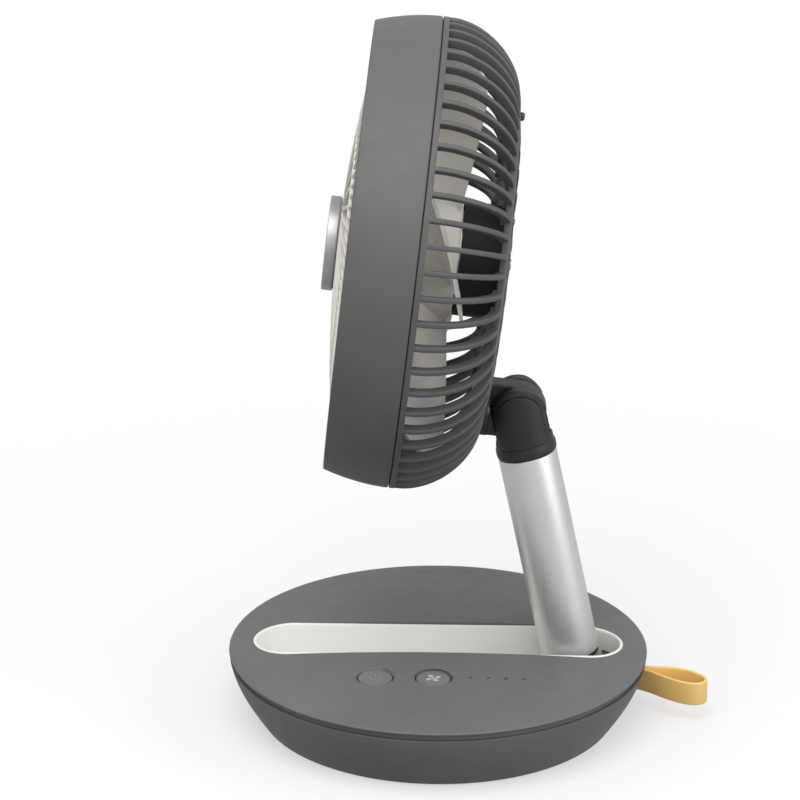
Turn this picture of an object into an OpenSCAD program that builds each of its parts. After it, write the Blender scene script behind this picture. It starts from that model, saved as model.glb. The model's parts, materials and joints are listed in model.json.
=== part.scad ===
// Portable camping fan: round weighted base, folding tube arm, caged fan head.
// Millimetres, +Z up. The base centre is at X = Y = 0 and its pad lies on Z = 0.
// The fan faces -X and tips up a little; the buttons are on the -Y side.

/* [Base] */
// Widest radius of the base
base_radius = 100; // [99:0.5:102]
// Height of the middle of the domed cover
cover_height = 36.6; // [36.4:0.1:37.4]
// Wall of the bowl and the cover
shell_wall = 2.4; // [2.2:0.1:2.6]
// Thickness of the rubber pad underneath
pad_thickness = 2; // [1.8:0.1:2.4]

/* [Trough] */
// Half width inside the trough
trough_radius = 16.7; // [16.5:0.1:17]
// Wall of the off-white trough liner
liner_wall = 1.5; // [1.3:0.1:1.7]

/* [Arm] */
// Distance between the foot hinge and the elbow hinge
arm_length = 131; // [129:0.5:133]
// Lean of the raised arm towards the head, in degrees
arm_lean = 12.4; // [10:0.2:14]
// Outer radius of the aluminium tube
tube_radius = 13.9; // [13.5:0.1:14]
// Radius of both hinge pins
pin_radius = 3; // [2.6:0.1:3.2]

/* [Head] */
// Upward tip of the fan axis, in degrees
head_tip = 6.4; // [3:0.2:9]
// Outer radius of the head at the seam
head_radius = 108.4; // [107.6:0.2:109.2]
// Depth of the front ring
ring_depth = 30.5; // [30:0.5:33]
// Number of ribs around the rear guard
rib_count = 60; // [48:1:66]
// Number of bars on the front guard
bar_count = 40; // [30:1:46]
// Number of impeller blades
blade_count = 5; // [4:1:6]
// Radius swept by the blade tips
blade_radius = 95; // [92:1:96]

/* [Controls] */
// Radius of a button cap
button_radius = 8.15; // [7.8:0.05:8.3]
// Travel of a button
button_travel = 1; // [0.6:0.1:1.1]

/* [Strap] */
// Height of the silicone band
strap_height = 11.4; // [10:0.2:12]
// Thickness of the silicone band
strap_thickness = 1.6; // [1.4:0.1:1.8]

/* [Hidden] */
$fn = 96;
eps = 0.01;
through = 60;          // length of a cut that goes right through
clearance = 0.3;       // space left between pieces that do not touch
running_fit = 0.05;    // radial clearance of a pin in its bore
spigot_fit = 0.1;      // radial clearance of a plug in the tube

// Colours
dark_grey = [0.36, 0.37, 0.37];
off_white = [0.90, 0.90, 0.86];
black = [0.10, 0.10, 0.11];
satin_alu = [0.80, 0.81, 0.82];
steel = [0.62, 0.63, 0.65];
tan_band = [0.90, 0.68, 0.38];
board_green = [0.07, 0.30, 0.16];
copper = [0.72, 0.42, 0.22];
cell_blue = [0.16, 0.32, 0.55];
clear_white = [0.95, 0.93, 0.86];

// Base levels
bowl_bottom = 0.6;
floor_top = pad_thickness + 2;
rim_level = 32;        // where the base is widest
bowl_top = 28.4;       // lower lip of the shadow gap
cover_bottom = 31;     // upper lip of the shadow gap
cover_curl = 1.2;      // rounding under the cover's edge
foot_radius = base_radius - 15.1;
pad_radius = base_radius - 22.5;
pad_play = 0.1;
ballast_radius = base_radius - 17;
ballast_height = 3;
dome_drop = 2.6;       // fall of the cover between its middle and shoulder_radius
shoulder_radius = base_radius - 14;
lip_radius = base_radius - 3.6;
lip_bottom = 26;
lip_wall = 1.8;
step_radius = base_radius - 2;     // wall of the shadow gap, part of the cover
step_gap = 0.2;        // between that wall and the bowl's rim

// Trough
trough_span = base_radius - 29.6;    // centre of each round end
liner_bottom = 6;
liner_floor = 1.4;
liner_proud = 0.4;
liner_radius = trough_radius + liner_wall;
trough_chamfer = [2.6, 4.4];
liner_pads = [-66, -20, 26];
liner_pad_size = [8, 24];
ballast_gap = liner_radius + 3.4;

// Arm
foot_x = trough_span - 5.6;
foot_z = 24;
tube_wall = 1.4;
tube_bore = tube_radius - tube_wall;
tube_start = 7;        // from the foot hinge to the end of the tube
plug_collar = 2;
plug_length = 22;
wire_radius = 1.4;
collar_drop = 21;      // from the elbow hinge to the end of the tube
collar_radius = tube_radius + 0.4;
spigot_length = 25;
eye_radius = 10;
eye_half_width = 12;
cheek_radius = 13.5;
cheek_body_radius = collar_radius - 0.2;
cheek_round = 18.6;     // the cheeks' upper corners end this far from the elbow hinge
cheek_drop = 18;       // how far the cheeks run down from the elbow hinge
cap_radius = 10.8;
cap_drop = 15;
cap_depth = 1.2;
cap_inner = 6;         // caps start this far from the middle
slot_half = 6.15;
slot_radius = 13.7;
tongue_half = 5.85;
tongue_radius = 13.2;
tongue_drop = 12;       // lower face of the bracket's neck, from the elbow hinge
bush_radius = pin_radius + 2;
washer_radius = 4.6;
ear_inside = liner_radius + 0.4;   // steel ears outside the trough wall
ear_wall = 2;
ear_radius = 7;
pin_head = 1.2;

// Head: the elbow hinge as seen from the middle of the seam
elbow_back = 56.6;
elbow_drop = head_radius - 38.3;
shoulder_start = 5;
shoulder_depth = 34;
shoulder_width = 32.4;
shoulder_bend = 1.11;
shell_depth = 3;
back_radius = head_radius - shoulder_width;
back_depth = shoulder_start + shoulder_depth;
hub_depth = back_depth + 3.2;
hub_plate_radius = 33;
rib_width = 2.4;
rib_depth = 4.5;
rib_inset = 0.15;
ring_taper = 5.2;       // how much narrower the front ring's mouth is than the seam
seam_gap = 0.4;
seam_ring = 2.6;
seam_width = 5;
ring_wall = 2.4;
dome_top = 36;
dome_rise = 10.08;      // of the front guard, from its rim to its middle
dome_wall = 2.4;
guard_radius = head_radius - 7.4;
guard_rim = 2.6;
guard_centre = 23;
front_bar_skew = 15;    // how far each bar passes the fan's axis
front_bar_width = 1.7;
guard_ring = 0.6 * guard_radius;
hub_cap_radius = 21.7;
hub_cap_height = 5;
bracket_half_height = 12.2;
bracket_rise = 15.4;    // from the elbow hinge to the upper edge of the bracket plate
bracket_half_width = 13.5;
bracket_face = 14;     // from the elbow hinge to the back of the bracket plate
foot_ring_radius = head_radius - 39.1;
boss_depth = 36;       // flat faces inside the rear guard, under the bracket screws
foot_height = 1.8;
foot_radius_rear = 2;
foot_bevel = 0.7;
foot_boss = 4.2;
past_back = 50;         // cutters that start through deep end inside the head
motor_back = hub_depth - shell_depth;
motor_radius = 26.3;
motor_floor = 37;
motor_front = 20;
motor_wall = 2.3;
bearing_radius = 5;
core_bore = 7;
core_back = 33;
core_length = 9;
tooth_length = 9;
tooth_width = 2.6;
shoe_length = 5;
shoe_width = 9.2;
coil_size = [4.8, 6];
coil_end = 1.2;         // how far a coil stands out past its tooth
bell_radius = 22;
bell_wall = 1.2;
bell_front = 18.6;
shaft_radius = 2;
shaft_length = 53;
hub_radius = 30;
hub_front = 13.4;
hub_back = 19.3;
hub_shoulder = 8;
hub_wall = 2;
hub_core = 6;
nut_radius = 5;
stator_radius = 19;
blade_bend = 180;       // camber radius
blade_pitch = 22;
blade_wall = 1.8;
blade_level = -13;      // lowest line of the camber at the middle of a blade
blade_root = 30;        // widths seen from the front
blade_tip = 70;

// Controls
button_row = -45;
button_places = [-28.7, -1.6];
light_places = [15.8, 24, 32.2, 40.4];
light_radius = 0.8;
button_gap = 0.45;
button_top = 35.3;
flange_radius = 9.8;
flange_top = 32.3;
flange_height = 1.4;
board_level = 22;
board_thickness = 1.6;
switch_top = 28.4;
stem_bottom = switch_top + 0.4 + button_travel;

// Screw posts of the base
post_radius = 3.5;
post_circle = base_radius - 18.4;
post_angles = [25, 110, 155, 205, 270, 335];
post_top = 24;
screw_radius = 1.5;
screw_head = 2.7;
screw_head_level = 1.2;
screw_head_height = 2;
screw_length = 25;
board_half = base_radius - 48;
board_near = -70;
board_far = -26;
board_post_radius = 2.6;
board_screw_radius = 1.1;
board_screw_length = 7;
board_posts = [[4 - board_half, board_far - 5], [board_half - 4, board_far - 5],
    [14 - board_half, board_near + 4], [board_half - 14, board_near + 4]];

// Battery
cell_radius = 0.092 * base_radius;
cell_length = 0.65 * base_radius;
cell_gap = 2;
cell_rows = [liner_radius + 4.2 + cell_radius, liner_radius + 4.6 + 3 * cell_radius];
tray_bottom = floor_top + ballast_height;
tray_thickness = 1.2;
tray_top = tray_bottom + tray_thickness;
cradle_width = 3;
cradle_height = 6.8;

// Charging socket, in the wall on the far side
socket_level = 17;
socket_size = [9, 7.4, 3.3];
socket_wall = 0.4;
socket_mouth = base_radius - 5.6;
charge_board_thickness = 1.2;
charge_board_level = socket_level - socket_size[2] / 2 - charge_board_thickness;
charge_board_half = 8;
charge_board_near = base_radius - 28;
charge_board_far = base_radius - 10.4;
charge_shelf = [2 * charge_board_half + 2, 6];

// ---------- frames ----------

module on_arm() {
    translate([foot_x, 0, foot_z]) rotate([0, -arm_lean, 0]) children();
}

module on_elbow() {
    on_arm() translate([0, 0, arm_length]) children();
}

// Local X runs up the head, local Z runs forward along the fan axis
module on_head() {
    elbow_x = foot_x - arm_length * sin(arm_lean);
    elbow_z = foot_z + arm_length * cos(arm_lean);
    translate([elbow_x, 0, elbow_z]) rotate([0, head_tip - 90, 0])
        translate([elbow_drop, 0, elbow_back]) children();
}

// ---------- shared shapes ----------

// A cylinder along Y, centred on the XZ plane
module across(r, half) {
    rotate([90, 0, 0]) cylinder(r = r, h = 2 * half, center = true);
}

module tube_ring(outer, inner, bottom, height) {
    translate([0, 0, bottom]) difference() {
        cylinder(r = outer, h = height);
        translate([0, 0, -1]) cylinder(r = inner, h = height + 2);
    }
}

// A body with round ends along X; the outline is half of its section, as distance and level
module round_ended(outline) {
    mirrored = [for (i = [len(outline) - 1 : -1 : 0]) [-outline[i][0], outline[i][1]]];
    union() {
        for (s = [-1, 1]) translate([s * trough_span, 0, 0])
            rotate_extrude() polygon(outline);
        rotate([90, 0, 90]) translate([0, 0, -trough_span])
            linear_extrude(2 * trough_span) polygon(concat(outline, mirrored));
    }
}

// The trough's own section, chamfered along the bottom to clear the bowl
module trough_body(r, bottom) {
    round_ended([[0, bottom], [r - trough_chamfer[0], bottom],
        [r, bottom + trough_chamfer[1]], [r, through], [0, through]]);
}

// ---------- base outline ----------

function bowl_radius(z) = foot_radius + (base_radius - foot_radius)
    * pow(1 - pow(1 - z / rim_level, 1.64), 1.05);

function bowl_outside(inset, low, high) = [for (i = [0 : 8])
    let (z = low + (high - low) * i / 8) [bowl_radius(z) - inset, z]];

function dome_level(r) = cover_height - dome_drop * pow(r / shoulder_radius, 2);

function cover_edge(inset, lower) = concat(
    [for (i = [0 : 4]) let (r = shoulder_radius * i / 4) [r, dome_level(r) - inset]],
    [for (i = [1 : 6]) let (u = 15 * i)
        [shoulder_radius + (base_radius - shoulder_radius - inset) * sin(u),
         lower + (dome_level(shoulder_radius) - lower - inset) * cos(u)]]);

// Everything under the cover's outer skin, raised by a small amount
module under_dome(raise) {
    translate([0, 0, raise]) rotate_extrude()
        polygon(concat([[0, 0]], cover_edge(0, cover_bottom), [[base_radius, 0]]));
}

function reversed(list) = [for (i = [len(list) - 1 : -1 : 0]) list[i]];

module at_posts() {
    for (a = post_angles) rotate([0, 0, a]) translate([post_circle, 0, 0]) children();
}

module at_board_posts() {
    for (p = board_posts) translate([p[0], p[1], 0]) children();
}

// ---------- base ----------

module base_bowl() {
    color(dark_grey) difference() {
        union() {
            rotate_extrude() polygon(concat(
                [[0, pad_thickness], [pad_radius + pad_play, pad_thickness],
                 [pad_radius + pad_play, bowl_bottom]],
                bowl_outside(0, bowl_bottom, bowl_top),
                reversed(bowl_outside(shell_wall, floor_top, bowl_top)),
                [[0, floor_top]]));
            at_posts() translate([0, 0, floor_top - eps])
                cylinder(r = post_radius, h = post_top - floor_top + eps);
            at_board_posts() translate([0, 0, floor_top - eps])
                cylinder(r = board_post_radius, h = board_level - floor_top + eps);
            // Pads that carry the trough
            for (x = liner_pads)
                translate([x - liner_pad_size[0] / 2, -liner_pad_size[1] / 2, floor_top - eps])
                    cube([liner_pad_size[0], liner_pad_size[1],
                        liner_bottom - floor_top + eps]);
            // Shelf under the charging board
            translate([-charge_shelf[0] / 2, charge_board_near, floor_top - eps])
                cube([charge_shelf[0], charge_shelf[1],
                    charge_board_level - floor_top + eps]);
        }
        at_posts() cylinder(r = screw_radius, h = through);
        at_posts() cylinder(r = screw_head, h = screw_head_level + screw_head_height);
        at_board_posts() translate([0, 0, board_level - board_screw_length - 1])
            cylinder(r = board_screw_radius, h = through);
        // Charging socket window
        translate([-socket_size[0] / 2, base_radius - 20, socket_level - socket_size[2] / 2])
            cube([socket_size[0], through, socket_size[2]]);
        strap_slot();
    }
}

module strap_slot() {
    translate([strap_root, strap_middle - strap_thickness - clearance,
        strap_bottom - strap_play])
        cube([20, 2 * (strap_thickness + clearance), strap_height + 2 * strap_play]);
}

module base_cover() {
    color(dark_grey) difference() {
        union() {
            rotate_extrude() polygon(concat(
                cover_edge(0, cover_bottom + cover_curl),
                [for (u = [30 : 30 : 90]) [base_radius - cover_curl * (1 - cos(u)),
                    cover_bottom + cover_curl * (1 - sin(u))],
                 [step_radius, cover_bottom], [step_radius, bowl_top + step_gap],
                 [lip_radius, bowl_top + step_gap], [lip_radius, lip_bottom],
                 [lip_radius - lip_wall, lip_bottom],
                 [lip_radius - lip_wall, cover_bottom - 1]],
                reversed([for (p = cover_edge(shell_wall, cover_bottom))
                    if (p[0] < lip_radius - lip_wall - 2) p])));
            intersection() {
                at_posts() translate([0, 0, post_top])
                    cylinder(r = post_radius, h = cover_height);
                under_dome(-1);
            }
        }
        trough_body(liner_radius, 0);
        at_posts() cylinder(r = screw_radius,
            h = screw_head_level + screw_head_height + screw_length + 0.8);
        for (x = button_places) translate([x, button_row, 0]) {
            cylinder(r = button_radius + button_gap, h = through);
            // Countersunk lip around the cap
            translate([0, 0, button_top - 0.5])
                cylinder(r1 = button_radius + button_gap, r2 = flange_radius - 0.2, h = 1.1);
        }
        for (x = light_places) translate([x, button_row, 0])
            cylinder(r = light_radius, h = through);
    }
}

module trough_liner() {
    color(off_white) difference() {
        intersection() {
            trough_body(liner_radius, liner_bottom);
            under_dome(liner_proud);
        }
        trough_body(trough_radius, liner_bottom + liner_floor);
        translate([foot_x, 0, foot_z]) across(pin_radius, through);
    }
}

module foot_pad() {
    color(black) cylinder(r = pad_radius, h = pad_thickness);
}

module ballast_plates() {
    color(steel) difference() {
        translate([0, 0, floor_top]) cylinder(r = ballast_radius, h = ballast_height);
        translate([-base_radius, -ballast_gap, 0])
            cube([2 * base_radius, 2 * ballast_gap, through]);
        at_posts() cylinder(r = post_radius + clearance, h = through);
        at_board_posts() cylinder(r = board_post_radius + clearance, h = through);
        translate([-charge_shelf[0] / 2 - clearance, charge_board_near - clearance, 0])
            cube([charge_shelf[0] + 2 * clearance, ballast_radius, through]);
    }
}

module at_cells() {
    for (y = cell_rows, x = [-cell_length - cell_gap / 2, cell_gap / 2])
        translate([x, y, tray_top + cell_radius]) rotate([0, 90, 0])
            cylinder(r = cell_radius, h = cell_length);
}

module battery_tray() {
    near = liner_radius + 4.8;
    depth = cell_rows[1] + 0.8 * cell_radius - near;
    color(black) difference() {
        intersection() {
            union() {
                translate([-cell_length, near, tray_bottom])
                    cube([2 * cell_length, depth, tray_thickness]);
                for (s = [-1, 1], k = [0.16, 0.84])
                    translate([s * k * cell_length - cradle_width / 2, near, tray_bottom])
                        cube([cradle_width, depth, tray_thickness + cradle_height]);
            }
            cylinder(r = bowl_radius(tray_bottom) - shell_wall - clearance, h = through);
        }
        at_cells();
    }
}

module battery_cells() {
    color(cell_blue) at_cells();
}

module main_board() {
    color(board_green) translate([0, 0, board_level]) difference() {
        translate([-board_half, board_near, 0])
            cube([2 * board_half, board_far - board_near, board_thickness]);
        at_board_posts() translate([0, 0, -1])
            cylinder(r = board_screw_radius, h = through);
    }
}

module board_screws() {
    color(steel) at_board_posts() translate([0, 0, board_level]) union() {
        translate([0, 0, board_thickness]) cylinder(r = 2.2, h = 1.5);
        translate([0, 0, -board_screw_length])
            cylinder(r = board_screw_radius, h = board_screw_length + board_thickness + eps);
    }
}

module button_switches() {
    color(black) for (x = button_places)
        translate([x, button_row, board_level + board_thickness]) union() {
            translate([-3, -3, 0]) cube([6, 6, 3.5]);
            cylinder(r = 1.7, h = switch_top - board_level - board_thickness);
        }
}

module board_lights() {
    color(clear_white) for (x = light_places)
        translate([x - 1, button_row - 0.8, board_level + board_thickness])
            cube([2, 1.6, 1]);
}

module light_pipes() {
    color(clear_white) intersection() {
        for (x = light_places)
            translate([x, button_row, board_level + board_thickness + 1])
                cylinder(r = light_radius, h = through);
        under_dome(0.1);
    }
}

module charge_board() {
    color(board_green) translate([-charge_board_half, charge_board_near, charge_board_level])
        cube([2 * charge_board_half, charge_board_far - charge_board_near,
            charge_board_thickness]);
}

module charge_socket() {
    color(steel) translate([-socket_size[0] / 2, socket_mouth - socket_size[1],
        socket_level - socket_size[2] / 2]) difference() {
        cube(socket_size);
        translate([socket_wall, 1.5, socket_wall])
            cube([socket_size[0] - 2 * socket_wall, 10, socket_size[2] - 2 * socket_wall]);
    }
}

module base_screws() {
    color(steel) at_posts() union() {
        translate([0, 0, screw_head_level])
            cylinder(r = screw_head, h = screw_head_height);
        translate([0, 0, screw_head_level + screw_head_height - eps])
            cylinder(r = screw_radius, h = screw_length);
    }
}

module foot_bracket() {
    plate_half = ear_radius + 2;
    color(steel) difference() {
        union() {
            translate([foot_x - plate_half, -ear_inside - ear_wall, floor_top])
                cube([2 * plate_half, 2 * (ear_inside + ear_wall), liner_bottom - floor_top]);
            for (y = [-ear_inside - ear_wall, ear_inside]) translate([0, y, 0]) {
                translate([foot_x - ear_radius, 0, floor_top])
                    cube([2 * ear_radius, ear_wall, foot_z - floor_top]);
                translate([foot_x, ear_wall, foot_z]) rotate([90, 0, 0])
                    cylinder(r = ear_radius, h = ear_wall);
            }
        }
        translate([foot_x, 0, foot_z]) across(pin_radius, through);
    }
}

module foot_pin() {
    end = ear_inside + ear_wall + pin_head / 2;
    color(steel) translate([foot_x, 0, foot_z]) union() {
        across(pin_radius, end);
        for (s = [-1, 1]) translate([0, s * end, 0]) across(pin_radius + 1.4, pin_head / 2);
    }
}

module foot_washers() {
    inner = eye_half_width + clearance;
    half = (trough_radius - inner) / 2;
    color(satin_alu) for (s = [-1, 1])
        translate([foot_x, s * (inner + half), foot_z]) difference() {
            across(washer_radius, half);
            across(pin_radius, through);
        }
}

// ---------- strap ----------

strap_bottom = 9;
strap_middle = 3.6;    // where the two ends of the band meet, from the base centre
strap_play = 0.1;
strap_root = base_radius - 10.2;
anchor_size = [1, 6];
anchor_lift = 3.5;
stop_play = 0.3;
stop_top = 25;

// Centre line of the band, seen from above: out, round the tip and back.
// X is counted from the base's widest radius.
strap_near = strap_middle - strap_thickness / 2 - strap_play;
strap_far = strap_middle + strap_thickness / 2 + strap_play;
strap_path = [[strap_root - base_radius, strap_near],
    [-5, strap_near], [-3, 2.6], [2, -0.6], [7, -5.3], [12, -9.5], [17, -12.6], [21.5, -14.2],
    [25.4, -13.6], [27.8, -10.9], [27.8, -7.2], [25.2, -3.2], [20.5, 0.8], [13, 3.8],
    [4, strap_far], [strap_root - base_radius, strap_far]];

function strap_side(i) = let (a = strap_path[max(i - 1, 0)],
    b = strap_path[min(i + 1, len(strap_path) - 1)], d = b - a)
    [-d[1], d[0]] / norm(d) * strap_thickness / 2;

module strap() {
    last = len(strap_path) - 1;
    color(tan_band) translate([base_radius, 0, strap_bottom]) linear_extrude(strap_height)
        polygon(concat([for (i = [0 : last]) strap_path[i] + strap_side(i)],
            [for (i = [last : -1 : 0]) strap_path[i] - strap_side(i)]));
}

// Block in the end of the trough that the raised arm leans back on
module arm_stop() {
    color(black) intersection() {
        trough_body(trough_radius - stop_play, liner_bottom + liner_floor);
        translate([foot_x, 0, foot_z]) rotate([0, -arm_lean, 0])
            translate([tube_radius + stop_play, -through / 2, -through])
                cube([through, through, 2 * through]);
        translate([0, -through / 2, 0]) cube([base_radius, through, stop_top]);
    }
}

module strap_anchor() {
    color(black) translate([strap_root - anchor_size[0], strap_middle - anchor_size[1] / 2,
        strap_bottom + anchor_lift])
        cube([anchor_size[0], anchor_size[1], strap_height - 2 * anchor_lift]);
}

// ---------- buttons ----------

module button(x) {
    translate([x, button_row, 0]) rotate_extrude() polygon([
        [0, stem_bottom], [2, stem_bottom], [2, flange_top - flange_height],
        [flange_radius, flange_top - flange_height], [flange_radius, flange_top],
        [button_radius, flange_top], [button_radius, button_top - 0.5],
        [button_radius - 0.5, button_top], [button_radius - 2, button_top + 0.1],
        [0, button_top - 0.3]]);
}

module power_button() {
    color(dark_grey) button(button_places[0]);
}

module speed_button() {
    color(dark_grey) button(button_places[1]);
}

// ---------- arm ----------

module arm_tube() {
    color(satin_alu) on_arm()
        tube_ring(tube_radius, tube_bore, tube_start,
            arm_length - collar_drop - tube_start);
}

module foot_plug() {
    color(black) on_arm() difference() {
        union() {
            translate([0, 0, tube_start - plug_collar])
                cylinder(r = tube_radius - 0.4, h = plug_collar);
            translate([0, 0, tube_start - eps])
                cylinder(r = tube_bore - spigot_fit, h = plug_length);
            intersection() {
                union() {
                    across(eye_radius, eye_half_width);
                    translate([-eye_radius, -eye_half_width, 0])
                        cube([2 * eye_radius, 2 * eye_half_width, tube_start]);
                }
                translate([0, 0, tube_start - through])
                    cylinder(r = tube_radius, h = through);
            }
        }
        across(pin_radius + running_fit, through);
    }
}

module arm_wiring() {
    low = tube_start - eps + plug_length;
    high = arm_length - collar_drop - spigot_length;
    color(black) on_arm() for (s = [-1, 1])
        translate([0, s * (wire_radius + 0.2), low])
            cylinder(r = wire_radius, h = high - low);
}

// Outline of the knuckle seen along the hinge: a round top on straight flanks
module d_shape(r, drop, half) {
    union() {
        across(r, half);
        translate([-r, -half, -drop]) cube([2 * r, 2 * half, drop]);
    }
}

module elbow_knuckle() {
    color(black) on_elbow() difference() {
        union() {
            intersection() {
                d_shape(cheek_radius, cheek_drop, collar_radius);
                translate([0, 0, -cheek_drop]) cylinder(r = cheek_body_radius, h = through);
                union() {
                    sphere(r = cheek_round);
                    translate([0, 0, -cheek_drop]) cylinder(r = through, h = cheek_drop);
                }
            }
            rotate_extrude() polygon([[0, -collar_drop],
                [collar_radius - 0.7, -collar_drop],
                [collar_radius, -collar_drop + 0.7], [collar_radius, -17],
                [collar_radius - 0.9, -15.6], [0, -15.6]]);
            translate([0, 0, -collar_drop - spigot_length])
                cylinder(r = tube_bore - spigot_fit, h = spigot_length + 1);
        }
        // Slot for the head's tongue
        translate([-through / 2, -slot_half, -slot_radius])
            cube([through, 2 * slot_half, through]);
        across(pin_radius, through);
        cap_bodies();
    }
}

module cap_bodies() {
    intersection() {
        d_shape(cap_radius, cap_drop, through);
        tube_ring(collar_radius, collar_radius - cap_depth, -cap_drop, through);
        for (s = [-1, 1]) translate([0, s * (cap_inner + collar_radius / 2), 0])
            cube([2 * cap_radius + 2, collar_radius, through], center = true);
    }
}

module elbow_caps() {
    color(black) on_elbow() cap_bodies();
}

module elbow_pin() {
    color(steel) on_elbow() intersection() {
        across(pin_radius, through);
        cylinder(r = collar_radius - cap_depth, h = through, center = true);
    }
}

module friction_bush() {
    color(satin_alu) on_elbow() difference() {
        across(bush_radius, tongue_half);
        across(pin_radius + running_fit, through);
    }
}

// ---------- head outline ----------

// Outer skin of the rear guard as radius and depth, from the seam to the middle
function rear_skin(inset) = concat(
    [[head_radius - inset, -seam_gap]],
    [for (i = [0 : 8]) let (u = 90 * i / 8)
        [back_radius + (shoulder_width - inset) * pow(cos(u), shoulder_bend),
         -shoulder_start - (shoulder_depth - inset) * pow(sin(u), shoulder_bend)]],
    [[back_radius - 17, -back_depth - 2.3 + inset],
     [hub_plate_radius, -hub_depth + inset], [0, -hub_depth + inset]]);

module rear_solid() {
    rotate_extrude() polygon(concat(rear_skin(0), [[0, -seam_gap]]));
}

module rear_shell() {
    rotate_extrude() polygon(concat(rear_skin(0), reversed(rear_skin(shell_depth))));
}

module shoulder_ribs() {
    outer = [for (p = rear_skin(rib_inset)) if (p[0] > back_radius - 1) p];
    inner = [for (p = rear_skin(rib_depth)) if (p[0] > back_radius - 1) p];
    for (i = [0 : rib_count - 1]) rotate([0, 0, 360 * i / rib_count])
        rotate([90, 0, 0]) linear_extrude(rib_width, center = true)
            polygon(concat(outer, [[back_radius - 3, -back_depth + rib_inset],
                [back_radius - 3, -back_depth + rib_depth]], reversed(inner)));
}

// Skewed bars of a guard, all leaning the same way round
module skewed_bars(count, low, high, offset, width, thick) {
    for (i = [0 : count - 1]) rotate([0, 0, 360 * i / count])
        translate([low, offset - width / 2, -thick])
            cube([high - low, width, 2 * thick]);
}

module at_rear_feet() {
    for (a = [0, 150, 210]) rotate([0, 0, a])
        translate([foot_ring_radius, 0, 0]) children();
}

// A plate behind the elbow hinge: straight above, round below to clear the trough's end
module pad_block(extra) {
    half_width = bracket_half_width + extra;
    translate([-elbow_drop, 0, -through]) union() {
        translate([0, -half_width, 0])
            cube([bracket_rise + extra, 2 * half_width, through - 10]);
        intersection() {
            cylinder(r = half_width, h = through - 10);
            translate([-bracket_half_height - extra, -half_width, 0])
                cube([2 * half_width, 2 * half_width, through - 10]);
        }
    }
}

bracket_bolts = [for (x = [-6, 6], y = [-8.6, 8.6]) [x - elbow_drop, y]];
motor_bolts = [for (y = [-13.8, 13.8]) [3.6, y]];
bolt_radius = 1.5;
bolt_head = 2.6;

module bolt_holes(places) {
    for (p = places) translate([p[0], p[1], -through]) cylinder(r = bolt_radius, h = past_back);
}

module rear_guard() {
    color(dark_grey) on_head() difference() {
        union() {
            shoulder_ribs();
            intersection() {
                rear_shell();
                union() {
                    skewed_bars(rib_count / 2, hub_plate_radius - 6, back_radius - 3, 17,
                        rib_width, through);
                    translate([0, 0, -through]) cylinder(r = hub_plate_radius, h = 50);
                    pad_block(1.4);
                    at_rear_feet() translate([0, 0, -through])
                        cylinder(r = foot_boss, h = past_back);
                    tube_ring(back_radius + 2.6, back_radius - 5.6, -through, past_back);
                }
            }
            intersection() {
                rear_solid();
                for (p = bracket_bolts) translate([p[0], p[1], -through])
                    cylinder(r = bolt_head + 1.2, h = through - boss_depth);
            }
            tube_ring(head_radius, head_radius - seam_width, -seam_gap - seam_ring, seam_ring);
            tube_ring(head_radius - ring_wall, head_radius - seam_width,
                -seam_gap - eps, seam_gap + 3);
        }
        bolt_holes(bracket_bolts);
        bolt_holes(motor_bolts);
        // Room for the heads of the bracket screws
        for (p = bracket_bolts) translate([p[0], p[1], -boss_depth])
            cylinder(r = bolt_head + clearance, h = shoulder_depth / 2);
    }
}

module rear_feet() {
    color(black) on_head() difference() {
        at_rear_feet() translate([0, 0, -back_depth - foot_height - 1]) rotate_extrude()
            polygon([[0, 0], [foot_radius_rear - foot_bevel, 0], [foot_radius_rear, foot_bevel],
                [foot_radius_rear, foot_height + 3], [0, foot_height + 3]]);
        rear_solid();
    }
}

module head_bracket() {
    color(black) on_head() difference() {
        union() {
            intersection() {
                pad_block(0);
                translate([-head_radius, -through / 2, -elbow_back + bracket_face])
                    cube([head_radius, through, elbow_back]);
            }
            translate([-elbow_drop, 0, -elbow_back]) {
                across(tongue_radius, tongue_half);
                translate([-tongue_drop, -tongue_half, 0])
                    cube([tongue_drop + tongue_radius, 2 * tongue_half, bracket_face + eps]);
            }
        }
        rear_solid();
        translate([-elbow_drop, 0, -elbow_back]) across(bush_radius + running_fit, through);
        bolt_holes(bracket_bolts);
    }
}

module bracket_screws() {
    low = -elbow_back + bracket_face;
    color(steel) on_head() for (p = bracket_bolts) translate([p[0], p[1], 0]) union() {
        translate([0, 0, low]) cylinder(r = bolt_radius, h = -boss_depth - low + eps);
        translate([0, 0, -boss_depth]) cylinder(r = bolt_head, h = 1.6);
    }
}

module front_ring() {
    outer = [for (i = [0 : 8]) let (z = ring_depth * i / 8)
        [head_radius - ring_taper * pow(i / 8, 1.9), z]];
    color(dark_grey) on_head() rotate_extrude() polygon(concat(outer,
        [[guard_radius + 0.6, ring_depth], [guard_radius, ring_depth - 0.6],
         [guard_radius, 23.6], [head_radius - ring_wall - 2, 19],
         [head_radius - ring_wall, 15], [head_radius - ring_wall, 0]]));
}

function dome_height(r) = dome_top - dome_rise * pow(r / guard_radius, 2);

function guard_skin(inset, far) = [for (i = [0 : 6])
    let (r = far * i / 6) [r, dome_height(r) - inset]];

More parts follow.
